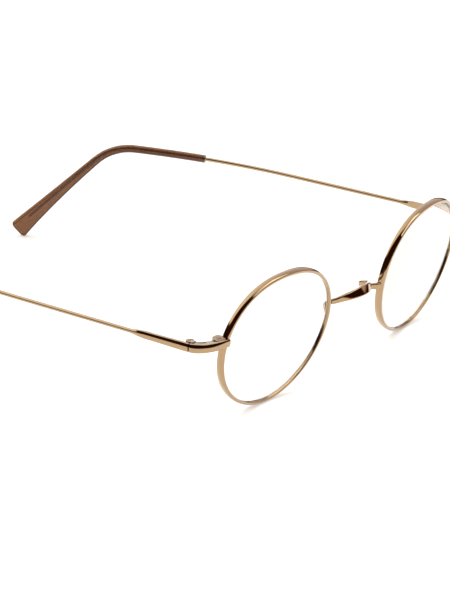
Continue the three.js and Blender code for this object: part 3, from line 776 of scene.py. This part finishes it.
apex = from_rim(bridge_root.x, -BRIDGE_FORWARD, BRIDGE_RISE)
bow_end = from_rim(*BOW_ROOT)
bow = []
for share in BOW_SHARES:
    drop = share * share
    bow.append(Vector((bow_end.x * share, mix(apex.y, bow_end.y, drop), mix(apex.z, bow_end.z, drop))))
in_rim = from_rim(-RIM_WALL / 2, -RIM_WALL / 4, LOOP[-1][2])
half = bow + [bow_end] + [from_rim(*spot) for spot in LOOP] + [in_rim]
knots = [point * Vector((-1, 1, 1)) for point in reversed(half)] + [apex] + half
print("bridge line through", len(knots), "points, highest at", round(apex.z, 2), "mm")

# %% [markdown]
# ## A smooth line with even spacing
# Forged metal has no corners, so a smooth curve runs through the points. A curve that gives every span
# the same time would bulge at the tight loops, so the time for a span grows with the root of its
# length. The fine line is then cut into even steps, because a mirror shows every uneven ring.

# %% Smooth line
def smooth_line(points, per_span):
    ends = [2 * points[0] - points[1]] + points + [2 * points[-1] - points[-2]]
    line = []
    for p0, p1, p2, p3 in zip(ends, ends[1:], ends[2:], ends[3:]):
        gap0, gap1, gap2 = (math.sqrt((b - a).length) for a, b in ((p0, p1), (p1, p2), (p2, p3)))
        leave = gap1 * ((p1 - p0) / gap0 - (p2 - p0) / (gap0 + gap1)) + (p2 - p1)
        reach = gap1 * ((p3 - p2) / gap2 - (p3 - p1) / (gap1 + gap2)) + (p2 - p1)
        for k in range(per_span):
            s = k / per_span
            line.append(p1 * (2 * s**3 - 3 * s**2 + 1) + leave * (s**3 - 2 * s**2 + s)
                        + p2 * (3 * s**2 - 2 * s**3) + reach * (s**3 - s**2))
    return line + [points[-1]]


def evenly(line, count):
    walked = [0.0]
    for a, b in zip(line, line[1:]):
        walked.append(walked[-1] + (b - a).length)
    spots = []
    k = 0
    for i in range(count + 1):
        goal = walked[-1] * i / count
        while k < len(line) - 2 and walked[k + 1] < goal:
            k += 1
        spots.append(mix(line[k], line[k + 1], (goal - walked[k]) / (walked[k + 1] - walked[k])))
    return spots


# %% [markdown]
# ## The bridge
# The bow is a broad bar with a flat face that looks up and forward. It is drawn slimmer and upright
# towards the loops, and higher again where it is soldered to the rims. A curve's bevel can shrink but
# not lean or flatten on the way, so every ring gets its own lean and its own rounded section.

# %% Bridge loft
BOW_HEIGHT = 2.6
BOW_THICKNESS = 1.2
BOW_LEAN = math.radians(27)
BOW_CORNER = 0.28
LOOP_THICKNESS = 1.12
LOOP_HEIGHT = 1.45
JOIN_HEIGHT = 1.9
SLIM_BY = 0.58
JOIN_FROM = 0.82
JOIN_BY = 0.96
SPAN_POINTS = 40
BRIDGE_STEPS = 180
BRIDGE_SHARP_FROM = 50

bridge_line = evenly(smooth_line(knots, SPAN_POINTS), BRIDGE_STEPS)
bridge_rings = []
for i, place in enumerate(bridge_line):
    along = (bridge_line[min(i + 1, BRIDGE_STEPS)] - bridge_line[max(i - 1, 0)]).normalized()
    from_apex = abs(2 * i / BRIDGE_STEPS - 1)
    slim = ease(from_apex / SLIM_BY)
    joint = ease((from_apex - JOIN_FROM) / (JOIN_BY - JOIN_FROM))
    height = mix(mix(BOW_HEIGHT, LOOP_HEIGHT, slim), JOIN_HEIGHT, joint)
    thickness = mix(BOW_THICKNESS, LOOP_THICKNESS, slim)
    level = Vector((along.y, -along.x, 0)).normalized()
    front = Matrix.Rotation(-BOW_LEAN * (1 - slim), 3, along) @ level
    corner = thickness * mix(BOW_CORNER, SOFT_CORNER, slim)
    section = rounded_section(thickness, height, corner)
    bridge_rings.append(ring_at(place, front, front.cross(along), section))
add_piece("bridge_bow", loft(bridge_rings), rose_gold, "front", "bridge",
          sharp=BRIDGE_SHARP_FROM)

# %% [markdown]
# ## Hinge parts and screws
# The closing blocks, hinge leaves and screws already have their true shapes as solids. Their edges are
# razor sharp, which no tumbled metal part is. Modelling them again would risk the fit of the hinge, so
# they stay and get modifiers: the loose triangles are welded, flat neighbours are merged, and every
# hard edge gets a small round that catches the light.

# %% Soften the small solids
EDGE_ROUND = 0.07
ROUND_SEGMENTS = 2
WELD_WITHIN = 0.002
FLAT_WITHIN = 2
HARD_FROM = 40
small_finishes = {
    "upper_closing_block": rose_gold,
    "lower_closing_block": rose_gold,
    "front_hinge_leaf": rose_gold,
    "temple_hinge_leaf": hinge_gold,
    "closing_screw": screw_gold,
    "hinge_screw": screw_gold,
}


def soften(node, finish):
    node.data.materials.clear()
    node.data.materials.append(finish)
    weld = node.modifiers.new("weld", "WELD")
    weld.merge_threshold = WELD_WITHIN * MM
    flat = node.modifiers.new("flat", "DECIMATE")
    flat.decimate_type = "DISSOLVE"
    flat.angle_limit = math.radians(FLAT_WITHIN)
    soft = node.modifiers.new("soft", "BEVEL")
    soft.width = EDGE_ROUND * MM
    soft.segments = ROUND_SEGMENTS
    soft.limit_method = "ANGLE"
    soft.angle_limit = math.radians(HARD_FROM)
    soft.use_clamp_overlap = True


for side in SIDES:
    for part, finish in small_finishes.items():
        soften(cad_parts[f"{side}_{part}"], finish)
print("softened", len(SIDES) * len(small_finishes), "small solids")

# %% [markdown]
# ## Table
# The glasses stand on a plain white table of matt card, whose tone varies slowly. A backdrop with a
# curved rise would show its bend from other sides. So it is one flat round sheet, far larger than the
# picture, and also the background.

# %% White table
TABLE_RADIUS = 2.5
TABLE_SEGMENTS = 96
TONE_MM = 400.0

matt_card, tree = new_material("white_table")
where = {"Vector": add_node(tree, "ShaderNodeTexCoord").outputs["Object"]}
tone = add_node(tree, "ShaderNodeTexNoise", {"Scale": grain_scale(TONE_MM), "Detail": 2.0}, where)
colour = add_node(tree, "ShaderNodeMix", {MIX_FIRST: linear("#f4f4f2"), MIX_SECOND: linear("#f8f8f6")},
                  {"Factor": tone.outputs["Fac"]}, data_type="RGBA")
shader = add_node(tree, "ShaderNodeBsdfPrincipled", {"Roughness": 0.7, "Specular IOR Level": 0.2},
                  {"Base Color": colour.outputs[MIX_COLOUR]})
finish_material(tree, shader)

bm = bmesh.new()
bmesh.ops.create_circle(bm, cap_ends=True, segments=TABLE_SEGMENTS, radius=TABLE_RADIUS)
table_mesh = bpy.data.meshes.new("white_table")
bm.to_mesh(table_mesh)
bm.free()
table_mesh.materials.append(matt_card)
table = bpy.data.objects.new("white_table", table_mesh)
bpy.context.scene.collection.objects.link(table)
print("table", 2 * TABLE_RADIUS, "m across")

# %% [markdown]
# ## A studio drawn by direction
# Polished metal shows the studio more than itself. Real walls and flags could be modelled, but each
# would also cast shadows and show in other views. So the studio is the world's light, which depends on
# direction alone. A direction is named by a compass angle, counted from straight ahead of the wearer
# towards their left, and a height in degrees. How far the light's own direction goes along a named one
# is a dot product, which one small function adds.

# %% Directions
def compass(azimuth, elevation):
    a = math.radians(azimuth)
    e = math.radians(elevation)
    return Vector((math.sin(a) * math.cos(e), -math.cos(a) * math.cos(e), math.sin(e)))


world = bpy.data.worlds.new("studio_room")
bpy.context.scene.world = world
world.use_nodes = True
tree = world.node_tree
tree.nodes.clear()
direction = add_node(tree, "ShaderNodeTexCoord").outputs["Generated"]


def towards(way):
    node = add_node(tree, "ShaderNodeVectorMath", {1: way}, {0: direction}, operation="DOT_PRODUCT")
    return node.outputs["Value"]


print("straight ahead of the wearer is", [round(v) for v in compass(0, 0)])

# %% [markdown]
# ## White walls
# White walls stand behind the glasses and to both sides, and the one at the rear right is the
# brightest. Their foot is dark, up to about 8 degrees on the wearer's left and 32 on their right,
# which gives the metal a dark line beside the light of the wall. Two ranges with soft ends say that:
# one towards the bright wall, and one along a slightly tilted upright.

# %% White walls
DARK_GLOW = 0.035
BRIGHT_WALL = compass(-150, 20)
WALL_SPREAD = (-0.2, 0.9)
WALL_RANGE = (0.8, 1.7)
WALL_UP = compass(90, 78)
WALL_FOOT = (0.27, 0.42)

walls = add_node(tree, "ShaderNodeMapRange", {
    "From Min": WALL_SPREAD[0],
    "From Max": WALL_SPREAD[1],
    "To Min": WALL_RANGE[0],
    "To Max": WALL_RANGE[1],
}, {"Value": towards(BRIGHT_WALL)}, interpolation_type="SMOOTHSTEP")
raised = add_node(tree, "ShaderNodeMapRange", {
    "From Min": WALL_FOOT[0],
    "From Max": WALL_FOOT[1],
    "To Min": DARK_GLOW,
}, {"Value": towards(WALL_UP), "To Max": walls.outputs["Result"]}, interpolation_type="SMOOTHSTEP")
print("walls glow from", WALL_RANGE[0], "to", WALL_RANGE[1])

# %% [markdown]
# ## The dark room behind the camera
# The room behind the camera is unlit. It is bounded by two planes that stand nearly upright, and a
# direction is dark where it lies inside both. Their edges draw the crisp dark bands on the bevels,
# rims and bow. A dark card in front of the glasses would do it too, but it would also darken the table.
# Close above the table the dark room is lighter, as the floor of a room is. The dark is warm, which
# gives the bands the brown of polished gold, and turns to white with the walls.

# %% Dark room and world
DARK_INSIDE = [compass(-40, -5), compass(-36, 15)]
DARK_EDGE = 0.07
FOOT_GLOW = 0.55
FOOT_RANGE = (0.0, 0.07)
WARM_DARK = "#ff8f40"

inside = add_node(tree, "ShaderNodeMath", links={i: towards(plane) for i, plane in enumerate(DARK_INSIDE)},
                  operation="MINIMUM")
foot = add_node(tree, "ShaderNodeMapRange", {
    "From Min": FOOT_RANGE[0],
    "From Max": FOOT_RANGE[1],
    "To Min": FOOT_GLOW,
    "To Max": DARK_GLOW,
}, {"Value": towards(compass(0, 90))}, interpolation_type="SMOOTHSTEP")
room = add_node(tree, "ShaderNodeMapRange", {"From Min": DARK_EDGE, "From Max": -DARK_EDGE}, {
    "Value": inside.outputs["Value"],
    "To Min": foot.outputs["Result"],
    "To Max": raised.outputs["Result"],
}, interpolation_type="SMOOTHSTEP")
tint = add_node(tree, "ShaderNodeMix", {MIX_FIRST: linear(WARM_DARK), MIX_SECOND: linear("#ffffff")},
                {"Factor": room.outputs["Result"]}, data_type="RGBA")
glow = add_node(tree, "ShaderNodeBackground", links={
    "Color": tint.outputs[MIX_COLOUR],
    "Strength": room.outputs["Result"],
})
add_node(tree, "ShaderNodeOutputWorld", links={"Surface": glow.outputs["Background"]})
print("world of", len(tree.nodes), "nodes")

# %% [markdown]
# ## Softbox and fill
# One softbox hangs in the dark part and puts light on the upper sides. A larger lamp above the table
# only lifts the table to white, and mirrors do not see it. Spot lights would leave hard shadows. These
# two cast none, so the table keeps only the faint contact shadows from the light of the walls. The
# plain view transform keeps white as white.

# %% Softbox and fill
LAMP_FAR = 1.2
SOFTBOX_WAY = compass(30, 51)
SOFTBOX_SIZE = (1.0, 0.65)
SOFTBOX_POWER = 4.6
FILL_SIZE = (2.4, 2.4)
FILL_POWER = 20.0


def hang_lamp(name, way, size, power):
    data = bpy.data.lights.new(name, "AREA")
    data.shape = "RECTANGLE"
    data.size, data.size_y = size
    data.energy = power
    data.use_shadow = False
    lamp = bpy.data.objects.new(name, data)
    lamp.location = way * LAMP_FAR
    lamp.rotation_euler = way.to_track_quat("Z", "Y").to_euler()
    bpy.context.scene.collection.objects.link(lamp)
    print(name, "at", [round(v, 2) for v in lamp.location], "m")
    return lamp


softbox = hang_lamp("softbox", SOFTBOX_WAY, SOFTBOX_SIZE, SOFTBOX_POWER)
fill = hang_lamp("table_fill", compass(0, 90), FILL_SIZE, FILL_POWER)
fill.visible_glossy = False
bpy.context.scene.view_settings.view_transform = "Standard"

# %% [markdown]
# ## Camera
# The picture was taken from the front right of the wearer, a little from above and with a long lens.
# A camera set by eye would be a few pixels off. So its angles, distance, slide and focal length were
# found by matching the outlines of rims, temples and bridge, and are written down here.

# %% Camera at the photograph's angle
AZIMUTH = -55.776
ELEVATION = 19.1
ROLL = math.radians(-0.123)
SLIDE_RIGHT = 31.907
SLIDE_UP = -17.236
DISTANCE = 882.845
LONG_SIDE = 600
FOCAL_PIXELS = 3351.62
SENSOR = 36.0

back = compass(AZIMUTH, ELEVATION)
right = Vector((0, 0, 1)).cross(back).normalized()
up = back.cross(right)
rolled_right = right * math.cos(ROLL) + up * math.sin(ROLL)
rolled_up = up * math.cos(ROLL) - right * math.sin(ROLL)
spot = back * DISTANCE - rolled_right * SLIDE_RIGHT - rolled_up * SLIDE_UP + Vector((0, lift.y, 0))
facing = Matrix((rolled_right, rolled_up, back)).transposed().to_4x4()

camera_data = bpy.data.cameras.new("photo_camera")
camera_data.sensor_width = SENSOR
camera_data.lens = FOCAL_PIXELS * SENSOR / LONG_SIDE
camera = bpy.data.objects.new("photo_camera", camera_data)
camera.matrix_world = Matrix.Translation(spot * MM) @ facing
bpy.context.scene.collection.objects.link(camera)
bpy.context.scene.camera = camera
print("focal length", round(camera_data.lens, 1), "mm at", [round(v) for v in spot], "mm")
